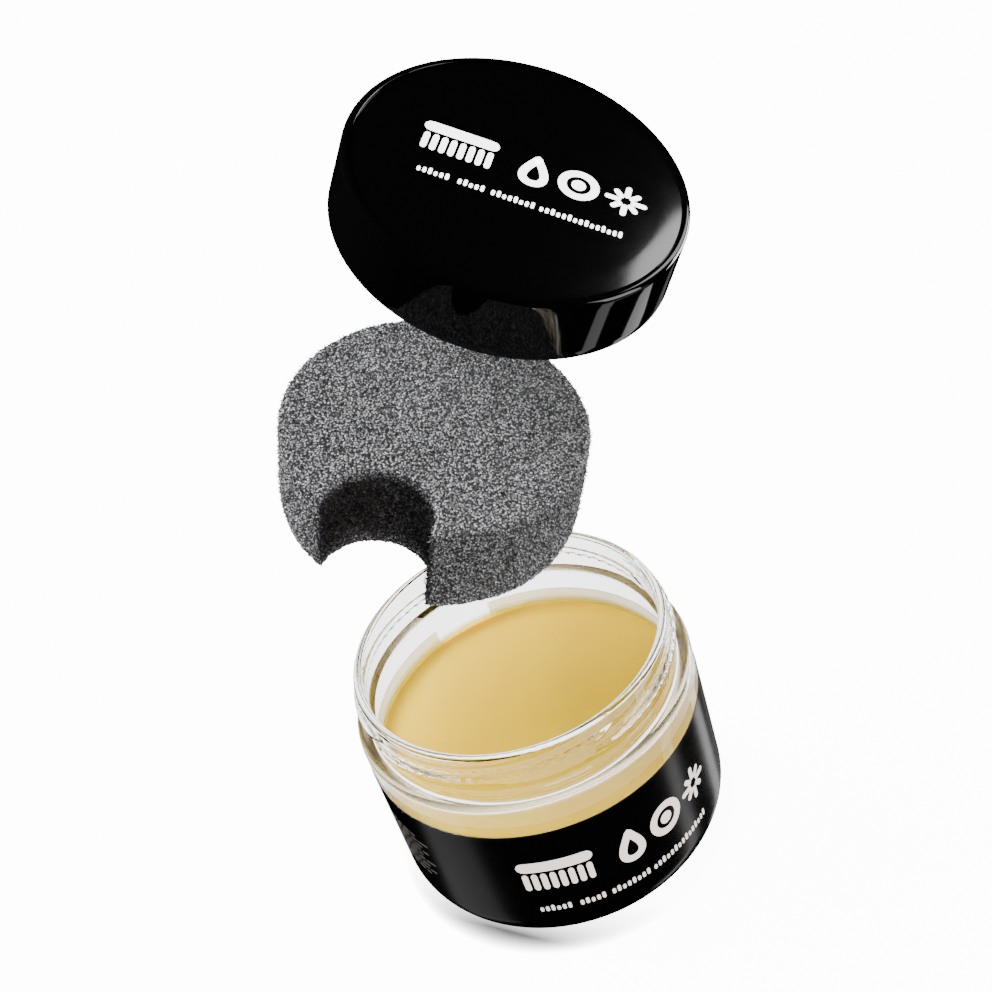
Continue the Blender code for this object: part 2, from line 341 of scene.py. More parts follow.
def linker(tree):
    """A function that joins one node's output to another's input."""
    def link(source, output, target, socket):
        tree.links.new(source.outputs[output], target.inputs[socket])
    return link


def add(tree, kind, inputs=None, **settings):
    """A node with its settings and its unlinked inputs filled in."""
    made = tree.nodes.new(kind)
    for name, value in settings.items():
        setattr(made, name, value)
    for key, value in (inputs or {}).items():
        made.inputs[key].default_value = value
    return made


def new_material(name, colour, roughness):
    """A Principled material: (material, tree, shader)."""
    made = bpy.data.materials.new(name)
    made.use_nodes = True
    made.diffuse_color = (*colour, 1.0)
    tree = made.node_tree
    shader = tree.nodes["Principled BSDF"]
    shader.inputs["Base Color"].default_value = (*colour, 1.0)
    shader.inputs["Roughness"].default_value = roughness
    return made, tree, shader


def set_glow(shader, colour, strength):
    shader.inputs["Emission Color"].default_value = (*colour, 1)
    shader.inputs["Emission Strength"].default_value = strength


def new_group(name, inputs, outputs):
    """An empty shader group with its sockets: (tree, input node, output node)."""
    tree = bpy.data.node_groups.new(name, "ShaderNodeTree")
    for label, kind, value in inputs:
        socket = tree.interface.new_socket(label, in_out="INPUT", socket_type=kind)
        socket.default_value = value
    for label, kind in outputs:
        tree.interface.new_socket(label, in_out="OUTPUT", socket_type=kind)
    return tree, tree.nodes.new("NodeGroupInput"), tree.nodes.new("NodeGroupOutput")


def mottle_group():
    """Two colours drifting into each other, for what is poured, moulded or printed."""
    if "mottle" in bpy.data.node_groups:
        return bpy.data.node_groups["mottle"]
    tree, given, out = new_group(
        "mottle",
        [("Position", "NodeSocketVector", (0, 0, 0)),
         ("Colour", "NodeSocketColor", (0.5, 0.5, 0.5, 1)),
         ("Other Colour", "NodeSocketColor", (0.4, 0.4, 0.4, 1)),
         ("Scale", "NodeSocketFloat", 100.0),
         ("Share", "NodeSocketFloat", 0.5)],
        [("Colour", "NodeSocketColor")])
    drift = add(tree, "ShaderNodeTexNoise", {"Detail": 4.0, "Roughness": 0.55})
    span = add(tree, "ShaderNodeMapRange", {"From Min": 0.3, "From Max": 0.7})
    amount = add(tree, "ShaderNodeMath", operation="MULTIPLY")
    mix = add(tree, "ShaderNodeMix", data_type="RGBA")
    link = linker(tree)
    link(given, "Position", drift, "Vector")
    link(given, "Scale", drift, "Scale")
    link(drift, "Fac", span, "Value")
    link(span, "Result", amount, 0)
    link(given, "Share", amount, 1)
    link(amount, "Value", mix, "Factor")
    link(given, "Colour", mix, 6)
    link(given, "Other Colour", mix, 7)
    link(mix, 2, out, "Colour")
    return tree


def handling_group():
    """Fine rubs and specks from handling: a roughness that varies, and a faint relief."""
    if "handling" in bpy.data.node_groups:
        return bpy.data.node_groups["handling"]
    tree, given, out = new_group(
        "handling",
        [("Position", "NodeSocketVector", (0, 0, 0)),
         ("Roughness", "NodeSocketFloat", 0.2),
         ("Rubs", "NodeSocketFloat", 0.1),
         ("Scale", "NodeSocketFloat", 120.0),
         ("Speck Scale", "NodeSocketFloat", 2500.0)],
        [("Roughness", "NodeSocketFloat"), ("Height", "NodeSocketFloat")])
    rubs = add(tree, "ShaderNodeTexNoise", {"Detail": 5.0, "Roughness": 0.6})
    specks = add(tree, "ShaderNodeTexNoise", {"Detail": 2.0, "Roughness": 0.5})
    centred = add(tree, "ShaderNodeMath", {1: 0.5}, operation="SUBTRACT")
    amount = add(tree, "ShaderNodeMath", operation="MULTIPLY")
    total = add(tree, "ShaderNodeMath", operation="ADD", use_clamp=True)
    link = linker(tree)
    for texture, scale in ((rubs, "Scale"), (specks, "Speck Scale")):
        link(given, "Position", texture, "Vector")
        link(given, scale, texture, "Scale")
    link(rubs, "Fac", centred, 0)
    link(centred, "Value", amount, 0)
    link(given, "Rubs", amount, 1)
    link(amount, "Value", total, 0)
    link(given, "Roughness", total, 1)
    link(total, "Value", out, "Roughness")
    link(specks, "Fac", out, "Height")
    return tree


def use_group(tree, group, values):
    """Place a group in a material, reading Object coordinates."""
    made = tree.nodes.new("ShaderNodeGroup")
    made.node_tree = group
    place = tree.nodes.new("ShaderNodeTexCoord")
    link = linker(tree)
    link(place, "Object", made, "Position")
    for name, value in values.items():
        made.inputs[name].default_value = value
    return made


def add_mottle(tree, shader, colour, other, scale, share):
    """Drift a material's colour towards another one."""
    made = use_group(tree, mottle_group(), {
        "Colour": (*colour, 1), "Other Colour": (*other, 1), "Scale": scale, "Share": share})
    link = linker(tree)
    link(made, "Colour", shader, "Base Color")


def add_handling(tree, shader, roughness, rubs, scale, speck_scale, relief, depth):
    """Vary a material's roughness, and raise its specks by depth metres."""
    made = use_group(tree, handling_group(), {
        "Roughness": roughness, "Rubs": rubs, "Scale": scale, "Speck Scale": speck_scale})
    bump = add(tree, "ShaderNodeBump", {"Strength": relief, "Distance": depth})
    link = linker(tree)
    link(made, "Roughness", shader, "Roughness")
    link(made, "Height", bump, "Height")
    link(bump, "Normal", shader, "Normal")


# ---------------------------------------------------------------- materials

def clear_plastic():
    """Thick clear PET. Lamps shine through it, as they do through a real pot's wall."""
    made, tree, shader = new_material("clear_pet", (0.985, 0.99, 0.99), 0.02)
    shader.inputs["Transmission Weight"].default_value = 1.0
    shader.inputs["IOR"].default_value = 1.52
    add_handling(tree, shader, 0.015, 0.03, 90.0, 700.0, 0.05, 0.02 * MM)
    out = tree.nodes["Material Output"]
    path = tree.nodes.new("ShaderNodeLightPath")
    clear = add(tree, "ShaderNodeBsdfTransparent", {"Color": (0.96, 0.965, 0.965, 1)})
    mix = tree.nodes.new("ShaderNodeMixShader")
    link = linker(tree)
    link(path, "Is Shadow Ray", mix, 0)
    link(shader, "BSDF", mix, 1)
    link(clear, "BSDF", mix, 2)
    link(mix, "Shader", out, "Surface")
    return made


def honey_wax(looks):
    """Soft wax that thins to nothing in the smear above its level."""
    made, tree, shader = new_material("honey_wax", looks.wax_colour, 0.4)
    shader.inputs["Subsurface Weight"].default_value = 0.55
    shader.inputs["Subsurface Radius"].default_value = (1.0, 0.5, 0.15)
    shader.inputs["Subsurface Scale"].default_value = 4 * MM
    shader.inputs["Specular IOR Level"].default_value = 0.05
    add_mottle(tree, shader, looks.wax_colour, looks.wax_deep_colour, 26.0, 0.6)
    add_handling(tree, shader, 0.45, 0.2, 60.0, 900.0, 0.25, 0.05 * MM)
    smear = add(tree, "ShaderNodeMapRange", {
        "From Min": WAX_HIGH.z + WAX_SMEAR_START, "From Max": WAX_HIGH.z + WAX_SMEAR,
        "To Min": 1.0, "To Max": 0.0}, interpolation_type="SMOOTHSTEP")
    height = tree.nodes.new("ShaderNodeSeparateXYZ")
    place = tree.nodes.new("ShaderNodeTexCoord")
    link = linker(tree)
    link(place, "Object", height, "Vector")
    link(height, "Z", smear, "Value")
    link(smear, "Result", shader, "Alpha")
    return made


def black_film(looks, name, roughness):
    made, tree, shader = new_material(name, looks.film_colour, roughness)
    add_handling(tree, shader, roughness, 0.5 * roughness, 140.0, 5200.0, 0.1, 0.01 * MM)
    return made


def label_backing():
    """The glued inner side of the label, as it shows through the clear wall."""
    cream = (0.9, 0.8, 0.56)
    made, tree, shader = new_material("label_backing", cream, 0.5)
    add_mottle(tree, shader, cream, (0.8, 0.66, 0.4), 160.0, 0.6)
    add_handling(tree, shader, 0.5, 0.2, 200.0, 2500.0, 0.2, 0.03 * MM)
    return made


def print_ink(name, colour, glow):
    """Opaque ink. A little glow keeps it as white as paper under the soft lamps."""
    made, tree, shader = new_material(name, colour, 0.4)
    set_glow(shader, colour, glow)
    worn = tuple(0.88 * part for part in colour)
    add_mottle(tree, shader, colour, worn, 900.0, 0.5)
    add_handling(tree, shader, 0.38, 0.1, 200.0, 6000.0, 0.12, 0.02 * MM)
    return made


def lid_plastic():
    made, tree, shader = new_material("lid_black_gloss", (0.0012, 0.0012, 0.0012), 0.06)
    shader.inputs["Specular IOR Level"].default_value = 0.3
    add_handling(tree, shader, 0.05, 0.05, 60.0, 1800.0, 0.03, 0.01 * MM)
    return made


def liner_foam():
    made, tree, shader = new_material("liner_white_foam", (0.8, 0.8, 0.77), 0.75)
    add_mottle(tree, shader, (0.82, 0.82, 0.8), (0.66, 0.66, 0.62), 400.0, 0.6)
    add_handling(tree, shader, 0.75, 0.15, 300.0, 1800.0, 0.5, 0.12 * MM)
    return made


def milky_plastic():
    made, tree, shader = new_material("milky_soft_plastic", (0.82, 0.83, 0.81), 0.35)
    shader.inputs["Subsurface Weight"].default_value = 0.5
    shader.inputs["Subsurface Scale"].default_value = 2 * MM
    add_mottle(tree, shader, (0.84, 0.85, 0.83), (0.74, 0.75, 0.72), 90.0, 0.5)
    add_handling(tree, shader, 0.33, 0.15, 120.0, 900.0, 0.2, 0.04 * MM)
    return made


def sponge_foam(looks):
    """Open-cell foam: painted glints of random strength at the cells' middles, painted shade in
    the pores between them, and painted shade in the notch.
    """
    made, tree, shader = new_material("grey_foam", looks.foam_glint_colour, 0.4)
    place = tree.nodes.new("ShaderNodeTexCoord")
    # Painted glints: each cell gets a light spot of random strength at its middle, fading into
    # painted pore shade at the cell's edges.
    cells = add(tree, "ShaderNodeTexVoronoi", {"Scale": 1 / looks.foam_cell}, feature="F1")
    glint_spot = add(tree, "ShaderNodeMapRange",
                {"From Min": 0.15, "From Max": 0.6, "To Min": 1.0, "To Max": 0.0},
                interpolation_type="SMOOTHSTEP")
    pick = tree.nodes.new("ShaderNodeSeparateColor")
    glint_strength = add(tree, "ShaderNodeMapRange", {"To Min": 0.3})
    share = add(tree, "ShaderNodeMath", operation="MULTIPLY")
    # Painted pore shade: a near-black copy, 4 percent of the foam's colour, between the glints.
    # The foam's own grey lies between the two, and the spread is painted light and shade.
    pore_shade = tuple(0.04 * part for part in looks.foam_glint_colour)
    body = add(tree, "ShaderNodeMix", {6: (*pore_shade, 1), 7: (*looks.foam_glint_colour, 1)},
               data_type="RGBA")
    # Painted shade in the notch: a near-black colour mixed in wherever the notch's shade mask
    # says.
    depth = add(tree, "ShaderNodeAttribute", attribute_name="notch_painted_shade")
    shade = add(tree, "ShaderNodeMix", {7: (0.006, 0.0045, 0.004, 1)}, data_type="RGBA")
    bump = add(tree, "ShaderNodeBump", {"Strength": 0.8, "Distance": 0.3 * MM})
    link = linker(tree)
    link(place, "Object", cells, "Vector")
    link(cells, "Distance", glint_spot, "Value")
    link(cells, "Color", pick, "Color")
    link(pick, "Red", glint_strength, "Value")
    link(glint_spot, "Result", share, 0)
    link(glint_strength, "Result", share, 1)
    link(share, "Value", body, "Factor")
    link(body, 2, shade, 6)
    link(depth, "Fac", shade, "Factor")
    link(shade, 2, shader, "Base Color")
    link(share, "Value", bump, "Height")
    link(bump, "Normal", shader, "Normal")
    return made


def give(item, *materials):
    for made in materials:
        item.data.materials.append(made)


# ---------------------------------------------------------------- jar and wax

def jar_outline():
    """Outer wall up from the base, over the rim, and down the inner wall."""
    base_r = BARREL_R - BASE_CORNER_R
    inner_r = BARREL_R - BARREL_WALL
    rim_z = JAR_HEIGHT - RIM_ROUND
    neck_z = SHOULDER_START + SHOULDER_R
    points = [(0, FOOT_RISE), (base_r - 9 * MM, FOOT_RISE)]
    points += [(base_r - 7.6 * MM, 0.12 * MM), (base_r - 6.8 * MM, 0.0)]
    points += arc(base_r, BASE_CORNER_R, BASE_CORNER_R, -pi / 2, 0, 18)
    points += straight((BARREL_R, BASE_CORNER_R), (BARREL_R, SHOULDER_START), 6)
    points += arc(BARREL_R - SHOULDER_R, SHOULDER_START, SHOULDER_R, 0, pi / 2, 12)
    points += arc(NECK_R + NECK_FILLET, neck_z + NECK_FILLET, NECK_FILLET, -pi / 2, -pi, 5)
    points += straight((NECK_R, neck_z + NECK_FILLET + 0.1 * MM), (NECK_R, rim_z), 56)
    points += arc(NECK_R - RIM_ROUND, rim_z, RIM_ROUND, 0, pi / 2, 8)
    points += arc(MOUTH_R + RIM_ROUND, rim_z, RIM_ROUND, pi / 2, pi, 8)
    ramp_top = SHOULDER_WALL_START + SHOULDER_WALL_RISE
    points += straight((MOUTH_R, rim_z), (MOUTH_R, ramp_top), 4)
    step = inner_r - MOUTH_R
    rows = 11
    points += [(MOUTH_R + step * eased(i / rows), ramp_top - SHOULDER_WALL_RISE * i / rows)
               for i in range(rows + 1)]
    points += arc(inner_r - INNER_CORNER_R, FLOOR + INNER_CORNER_R, INNER_CORNER_R,
                  0, -pi / 2, 8)
    points += [(0, FLOOR)]
    return points


def jar_shape(r, z, angle):
    """The neck's radius with its thread ribs raised on it."""
    if r < NECK_R - 0.01 * MM or z < SHOULDER_START + SHOULDER_R:
        return r
    return r + rib_height(z, angle, RIB_FIRST_ANGLE, RIB_SWEEP, RIB_START_HEIGHT,
                          RIB_HEIGHT, RIB_ROOT_HALF, RIB_CREST_HALF)


def make_pot():
    pot = lathe("pot", jar_outline(), 360, jar_shape, sharp=radians(50))
    give(pot, clear_plastic())
    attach(pot, "jar")
    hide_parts("jar_body")


def make_wax(looks):
    """The poured fill, wetting the wall: it reaches into the wall's skin."""
    wall_r = BARREL_R - BARREL_WALL + WAX_IN_WALL
    low = FLOOR - WAX_IN_WALL
    level = WAX_HIGH.z
    smear_top = level + WAX_SMEAR
    film_r = wall_r - 0.1 * MM
    corner = (wall_r - INNER_CORNER_R, low + INNER_CORNER_R)
    rings = 60
    flat_share = 0.9
    points = [(0, low)]
    points += arc(*corner, INNER_CORNER_R, -pi / 2, 0, 10)
    points += straight((wall_r, corner[1]), (wall_r, smear_top), 5)
    points += [(wall_r, smear_top), (film_r, smear_top)]
    points += straight((film_r, smear_top), (film_r, level + WAX_CLIMB), 6)
    for i in range(rings):
        share = 1 - i / rings
        lift = WAX_CLIMB * max(0.0, (share - flat_share) / 0.1) ** 2.4
        points.append((film_r * share, level + lift - WAX_HOLLOW * (1 - share)))
    points += [(0, level - WAX_HOLLOW)]
    wax = lathe("wax_fill", points, 180, sharp=radians(60))
    for vertex in wax.data.vertices:
        if vertex.normal.z > 0.7:
            ripple = noise.noise(Vector(vertex.co.xy).to_3d() * 110)
            vertex.co.z += WAX_RIPPLE * ripple
    give(wax, honey_wax(looks))
    wax.visible_glossy = False
    wax.visible_diffuse = False
    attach(wax, "jar")
    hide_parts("wax")


# ---------------------------------------------------------------- artwork

def ribbon(path, halves, place, thickness, across=4, closed=False):
    """A thin solid strip that follows a path on a surface: (verts, faces).

    path holds flat points, halves its half widths, and place(x, y, h) lays them down.
    """
    count = len(path)
    verts, rings = [], []
    for i, (x, y) in enumerate(path):
        before = path[(i - 1) % count] if closed or i > 0 else path[i]
        after = path[(i + 1) % count] if closed or i < count - 1 else path[i]
        heading = Vector((after[0] - before[0], after[1] - before[1])).normalized()
        side = Vector((-heading.y, heading.x)) * halves[i]
        spread = [-1 + 2 * j / across for j in range(across + 1)]
        top = [(x + side.x * s, y + side.y * s, thickness) for s in spread]
        bottom = [(px, py, -thickness / 2) for px, py, _ in reversed(top)]
        ring = []
        for point in top + bottom:
            ring.append(len(verts))
            verts.append(place(*point))
        rings.append(ring)
    pairs = list(zip(rings, rings[1:])) + ([(rings[-1], rings[0])] if closed else [])
    size = len(rings[0])
    faces = []
    for low, high in pairs:
        for k in range(size):
            n = (k + 1) % size
            faces.append((low[k], high[k], high[n], low[n]))
    if not closed:
        faces.append(rings[0])
        faces.append(rings[-1][::-1])
    return verts, faces


def capsule(start, end, half, steps=14):
    """A bar with round ends: (path, half widths)."""
    line = Vector(end) - Vector(start)
    heading = line.normalized()
    low, high = -half * 0.999, line.length + half * 0.999
    path, halves = [], []
    for i in range(steps + 1):
        along = low + (high - low) * (0.5 - 0.5 * cos(pi * i / steps))
        past = max(0.0, -along, along - line.length)
        path.append(tuple(Vector(start) + heading * along))
        halves.append(max((half * half - past * past) ** 0.5, 0.01 * MM))
    return path, halves


def ring_path(centre, radius, half, steps=48):
    turns = [tau * i / steps for i in range(steps)]
    path = [(centre[0] + radius * cos(t), centre[1] + radius * sin(t)) for t in turns]
    return path, [half] * steps


def drop_path(centre, size, half, steps=48):
    """The outline of a falling drop."""
    path = []
    for i in range(steps):
        turn = tau * i / steps
        narrow = (0.5 - 0.5 * cos(turn)) ** 0.75
        path.append((centre[0] + 0.82 * size * sin(turn) * narrow, centre[1] + size * cos(turn)))
    return path, [half] * steps


def artwork():
    """Every stroke of the artwork, as (path, half widths, closed), about its own middle.

    A polishing brush, then a drop, a pot's rim and a shine, over a row of small blocks.
    """
    strokes = []
    brush_left, brush_right = -31.0 * MM, -15.8 * MM
    back_half, back_y = 1.4 * MM, 4.9 * MM
    back = capsule((brush_left + back_half, back_y), (brush_right - back_half, back_y), back_half)
    strokes.append((*back, False))
    tufts = 8
    for i in range(tufts):
        x = brush_left + 1.2 * MM + (brush_right - brush_left - 2.4 * MM) * i / (tufts - 1)
        strokes.append((*capsule((x, 2.3 * MM), (x, -1.3 * MM), 0.62 * MM, 8), False))
    strokes.append((*drop_path((-8.0 * MM, 1.9 * MM), 3.7 * MM, 0.85 * MM), True))
    ring = (0.9 * MM, 2.0 * MM)
    strokes.append((*ring_path(ring, 3.3 * MM, 0.85 * MM), True))
    strokes.append((*ring_path(ring, 0.75 * MM, 0.7 * MM, 20), True))
    shine = Vector((10.5 * MM, 2.0 * MM))
    rays = 8
    for i in range(rays):
        turn = tau * i / rays
        heading = Vector((cos(turn), sin(turn)))
        reach = (3.7 if i % 2 == 0 else 3.1) * MM
        ray = capsule(shine + heading * 1.6 * MM, shine + heading * reach, 0.6 * MM, 10)
        strokes.append((*ray, False))
    block_rows = [(-29.3, 6), (-21.2, 5), (-14.6, 8), (-5.0, 15)]
    foot = -8.3 * MM
    for left, marks in block_rows:
        for i in range(marks):
            x = (left + 0.5 + 1.12 * i) * MM
            tall = (0.55, 1.05, 0.75)[(i * 2 + marks) % 3] * MM
            bar = capsule((x, foot), (x, foot + tall), 0.36 * MM, 8)
            strokes.append((*bar, False))
    return strokes


def small_print():
    """Rows of fine dashes, as strokes about the block's middle."""
    strokes = []
    rows = 9
    for row in range(rows):
        y = (0.5 * rows - row) * 1.5 * MM
        x = -5.0 * MM
        for mark in range(5):
            length = (1.1 + 0.45 * ((row * 3 + mark * 2) % 4)) * MM
            bar = capsule((x, y), (x + length, y), 0.2 * MM, 8)
            strokes.append((*bar, False))
            x += length + 0.8 * MM
    return strokes


def printed(name, strokes, place, thickness, ink):
    """Strokes as one piece of thin ink laid on a surface."""
    verts, faces = [], []
    for path, halves, closed in strokes:
        more_verts, more_faces = ribbon(path, halves, place, thickness, closed=closed)
        faces += [[k + len(verts) for k in face] for face in more_faces]
        verts += more_verts
    made = mesh_object(name, verts, faces)
    bm = bmesh.new()
    bm.from_mesh(made.data)
    bmesh.ops.recalc_face_normals(bm, faces=bm.faces)
    bm.to_mesh(made.data)
    bm.free()
    give(made, ink)
    return made


def make_label(looks):
    """The wrapped label, black outside and cream inside, with its two prints."""
    centre_r = BARREL_R - BASE_CORNER_R
    inner = BASE_CORNER_R - 0.02 * MM
    outer = BASE_CORNER_R + LABEL_THICKNESS
    top = LABEL_HIGH.z
    points = arc(centre_r, BASE_CORNER_R, outer, -LABEL_UNDERWRAP, 0, 16)
    points += straight((centre_r + outer, BASE_CORNER_R), (centre_r + outer, top), 10)
    points += [(centre_r + outer, top), (centre_r + inner, top)]
    points += straight((centre_r + inner, top), (centre_r + inner, BASE_CORNER_R), 10)
    points += arc(centre_r, BASE_CORNER_R, inner, 0, -LABEL_UNDERWRAP, 16)
    start = LABEL_GAP_ANGLE + LABEL_GAP_SWEEP / 2
    label = lathe("wrap_label", points, 260, start=start, sweep=tau - LABEL_GAP_SWEEP)
    give(label, black_film(looks, "label_film", 0.2), label_backing())
    for face in label.data.polygons:
        outward = Vector((*face.center.xy, 0)).normalized()
        middle = outward * centre_r + UP * max(face.center.z, BASE_CORNER_R)
        face.material_index = int(face.normal.dot(face.center - middle) < 0)
    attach(label, "jar")
    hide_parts("jar_label")

    surface_r = BARREL_R + LABEL_THICKNESS

    def on_label(x, y, h, middle=LABEL_ART_ANGLE):
        angle = middle + x / surface_r
        return ((surface_r + h) * cos(angle), (surface_r + h) * sin(angle), LABEL_ART_HEIGHT + y)

    def beside_art(x, y, h):
        return on_label(x, y, h, SMALL_PRINT_ANGLE)

    ink = print_ink("label_ink", looks.label_ink, 1.4)
    art = printed("label_print", artwork(), on_label, looks.print_thickness, ink)
    faint = print_ink("label_faint_ink", tuple(0.12 * part for part in looks.label_ink), 0.0)
    notes = printed("label_notes", small_print(), beside_art, looks.print_thickness, faint)
    for item in (art, notes):
        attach(item, "jar")


# ---------------------------------------------------------------- lid and seal

def lid_outline():
    """Ceiling out to the bore, down it, round the skirt's foot, up and over the top."""
    ceiling = -(LID_RECESS_DEPTH + LID_TOP_WALL)
    foot_z = LID_FOOT_ROUND - LID_HEIGHT
    corner_r, corner_z = LID_BORE_R - LID_BORE_ROUND, ceiling - LID_BORE_ROUND
    points = [(0, ceiling), (corner_r, ceiling)]
    points += arc(corner_r, corner_z, LID_BORE_ROUND, pi / 2, 0, 5)
    points += straight((LID_BORE_R, corner_z - 0.1 * MM), (LID_BORE_R, foot_z), 44)
    points += arc(LID_BORE_R + LID_FOOT_ROUND, foot_z, LID_FOOT_ROUND, pi, 1.5 * pi, 5)
    points += arc(LID_BOTTOM_R - LID_FOOT_ROUND, foot_z, LID_FOOT_ROUND, -pi / 2, 0, 6)
    points += straight((LID_BOTTOM_R, foot_z), (LID_TOP_R, -LID_EDGE_ROUND), 8)
    points += arc(LID_TOP_R - LID_EDGE_ROUND, -LID_EDGE_ROUND, LID_EDGE_ROUND, 0, pi / 2, 12)
    points += arc(LID_RECESS_R + LID_LIP, -LID_LIP, LID_LIP, pi / 2, pi, 4)
    points += [(LID_RECESS_R, -LID_RECESS_DEPTH), (0, -LID_RECESS_DEPTH)]
    return points


def lid_shape(r, z, angle):
    """The bore's radius with its thread ribs standing in from it."""
    if abs(r - LID_BORE_R) > 0.01 * MM:
        return r
    return r - rib_height(z, angle, LID_RIB_FIRST_ANGLE, LID_RIB_SWEEP, LID_RIB_START_HEIGHT,
                          LID_BORE_R - LID_RIB_TIP_R, LID_RIB_ROOT_HALF, LID_RIB_CREST_HALF)


def make_lid(looks):
    shell = lathe("lid_cap", lid_outline(), 240, lid_shape, sharp=radians(50))
    set_in_place(shell, lid_place())
    give(shell, lid_plastic())
    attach(shell, "lid")
    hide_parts("lid_shell")

    low = -LID_RECESS_DEPTH - 0.02 * MM
    high = LID_LABEL_TOP
    flat_r = LID_LABEL_R - LID_LABEL_BEND
    points = [(0, low), (LID_LABEL_R, low)]
    shares = [1 - i / 12 for i in range(13)]
    points += [(flat_r + LID_LABEL_BEND * s, high - LID_LABEL_FALL * s ** 2) for s in shares]
    points += straight((flat_r, high), (0, high), 16)
    points += [(0, high)]
    label = lathe("lid_disc", points, 180)
    set_in_place(label, lid_place())
    give(label, black_film(looks, "lid_film", 0.1))
    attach(label, "lid")
    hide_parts("lid_label")

    place = lid_place()

    def on_lid(x, y, h):
        return tuple(place @ Vector((x + LID_ART_SHIFT, y, high + h)))

    ink = print_ink("lid_ink", looks.lid_ink, 4.0)
    art = printed("lid_print", artwork(), on_lid, looks.print_thickness, ink)
    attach(art, "lid")


def plate(name, radius, low, high, rounding, grooves, depth):
    """A round plate with soft edges and ring grooves in both of its faces."""
    def sunk(r):
        return depth * sum(eased(1 - abs(r - g) / SEAL_GROOVE_HALF) for g in grooves)

    rings = 90
    radii = [(radius - rounding) * i / rings for i in range(rings + 1)]
    points = [(r, low + sunk(r)) for r in radii]
    middle_low, middle_high = low + rounding, high - rounding
    points += arc(radius - rounding, middle_low, rounding, -pi / 2, 0, 5)
    points += arc(radius - rounding, middle_high, rounding, 0, pi / 2, 5)
    points += [(r, high - sunk(r)) for r in reversed(radii)]
    return lathe(name, points, 160, sharp=radians(60))


def make_seal():
    """The lid's foam liner, and the loose sealing disc below it."""
    liner_high = -(LID_RECESS_DEPTH + LID_TOP_WALL)
    liner_low = liner_high - LINER_LOW
    liner = plate("liner_wad", LINER_R, liner_low, liner_high - LINER_TOP_GAP,
                  LINER_ROUND, (), 0.0)
    set_in_place(liner, lid_place())
    give(liner, liner_foam())
    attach(liner, "liner")
    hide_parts("lid_liner")

    disc_high = liner_low - SEAL_GAP
    disc = plate("sealing_disc", SEAL_R, disc_high - SEAL_THICKNESS, disc_high, SEAL_ROUND,
                 SEAL_GROOVES, SEAL_GROOVE_DEPTH)
    set_in_place(disc, lid_place(dropped=LID_LIFT))
    give(disc, milky_plastic())
    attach(disc, "seal")
    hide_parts("seal_disc")


# ---------------------------------------------------------------- sponge

def sponge_outline():
    """The puck's plan: the long arc round, then the notch's arc back."""
    reach = (SPONGE_R ** 2 + NOTCH_DISTANCE ** 2 - NOTCH_R ** 2) / (2 * NOTCH_DISTANCE)
    tip = Vector((reach, (SPONGE_R ** 2 - reach ** 2) ** 0.5))
    along = Vector((1, 0))
    outer_from = abs(tip.angle_signed(along))
    notch_from = abs((tip - along * NOTCH_DISTANCE).angle_signed(along))
    outer_steps, notch_steps = 90, 40
    outer = [outer_from + (tau - 2 * outer_from) * i / outer_steps
             for i in range(outer_steps + 1)]
    notch = [-notch_from - (tau - 2 * notch_from) * i / notch_steps
             for i in range(1, notch_steps)]
    points = [(SPONGE_R * cos(a), SPONGE_R * sin(a)) for a in outer]
    points += [(NOTCH_DISTANCE + NOTCH_R * cos(a), NOTCH_R * sin(a)) for a in notch]
    return points


def sponge_body(voxel):
    """The puck with softened rims, remeshed evenly."""
    bm = bmesh.new()
    verts = [bm.verts.new((x, y, -SPONGE_THICKNESS)) for x, y in sponge_outline()]
    base = bm.faces.new(verts)
    base.normal_flip()
    lifted = bmesh.ops.extrude_face_region(bm, geom=[base])["geom"]
    top = [item for item in lifted if isinstance(item, bmesh.types.BMVert)]
    bmesh.ops.translate(bm, verts=top, vec=UP * SPONGE_THICKNESS)
    bmesh.ops.recalc_face_normals(bm, faces=bm.faces)
    rims = [e for e in bm.edges if abs(e.verts[0].co.z - e.verts[1].co.z) < 1e-9]
    bmesh.ops.bevel(bm, geom=rims, offset=SPONGE_RIM, offset_type="OFFSET", segments=3,
                    profile=0.5, affect="EDGES", clamp_overlap=True)
    blank = linked("foam_blank", mesh_from(bm, "foam_blank"))
    remesh = blank.modifiers.new("even", "REMESH")
    remesh.mode = "VOXEL"
    remesh.voxel_size = voxel
    smooth = blank.modifiers.new("soft", "SMOOTH")
    smooth.factor = 0.5
    smooth.iterations = 8
    made = evaluated_copy(blank, "foam_sponge")
    bpy.data.objects.remove(blank, do_unlink=True)
    return made


def open_cells(item, cell):
    """Sink each cell's pore and leave its walls standing, with a slow unevenness."""
    mesh = item.data
    normals = [vertex.normal.copy() for vertex in mesh.vertices]
    for vertex, normal in zip(mesh.vertices, normals):
        near = noise.voronoi(vertex.co / cell)[0]
        pore = min((near[1] - near[0]) / CELL_WALL_SHARE, 1.0)
        jitter = noise.noise(vertex.co / FOAM_JITTER_WIDTH)
        slow = noise.noise(vertex.co / FOAM_UNEVEN_WIDTH)
        move = -PORE_DEPTH * pore + FOAM_JITTER * jitter + FOAM_UNEVENNESS * slow
        vertex.co += normal * move
    mesh.update()


def paint_notch_shade(item):
    """Keep, for each vertex of the foam, how much painted shade darkens its colour on the notch's
    wall.
    """
    depth = item.data.attributes.new("notch_painted_shade", "FLOAT", "POINT")
    # Painted shade: full on the notch's wall below its rim, eased off towards the sponge's lit
    # foot.
    reach, rim, fade, foot = 1.2 * MM, -0.4 * MM, 2.6 * MM, 5 * MM
    for vertex, value in zip(item.data.vertices, depth.data):
        from_notch = (vertex.co.xy - Vector((NOTCH_DISTANCE, 0))).length
        near_wall = eased((NOTCH_R + reach - from_notch) / reach)
        below_rim = eased((rim - vertex.co.z) / fade)
        lit_foot = 1 - 0.6 * eased((-SPONGE_THICKNESS + foot - vertex.co.z) / foot)
        value.value = 0.96 * near_wall * below_rim * lit_foot


